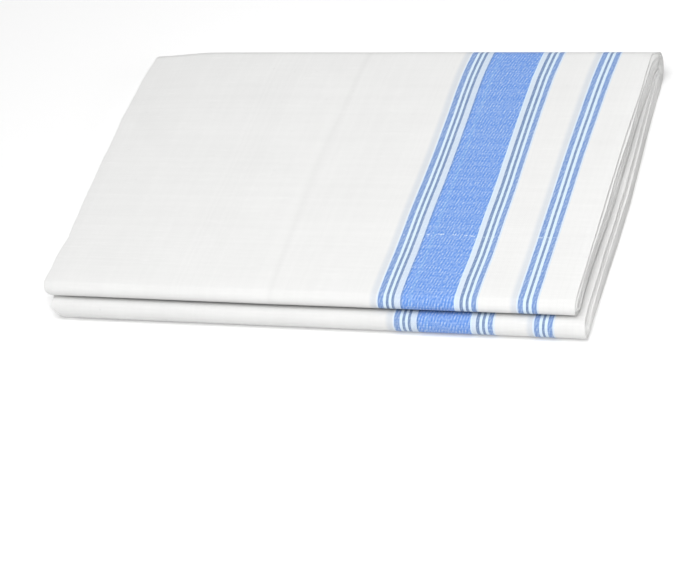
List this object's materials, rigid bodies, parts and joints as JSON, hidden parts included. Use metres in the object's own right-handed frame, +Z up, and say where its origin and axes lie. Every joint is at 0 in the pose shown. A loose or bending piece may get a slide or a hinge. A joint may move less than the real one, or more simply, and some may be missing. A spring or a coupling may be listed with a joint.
{
  "type": "folded dhoti cloth",
  "caption": "Folded length of white cotton dhoti cloth with a blue striped border, lying flat, layers showing at the selvedge end.",
  "frame": {"origin": "middle of the underside's box, on the surface the folded cloth lies on", "axes": "+X along the front folds towards the selvedge end, +Y from the front folds to the back fold, +Z up"},
  "size_m": [0.3204, 0.207, 0.0231],
  "materials": {
    "bordered_cotton": "plain woven white cotton, matt, with blue warp stripes",
    "layered_cotton": "edges of the folded white cotton layers, matt"
  },
  "bodies": {
    "root": {"top_stretch": "bordered_cotton", "back_fold": "bordered_cotton", "under_stretch": "bordered_cotton", "second_turn_upper": "layered_cotton", "second_turn_lower": "layered_cotton", "hidden_layers": "layered_cotton"}
  },
  "joints": []
}
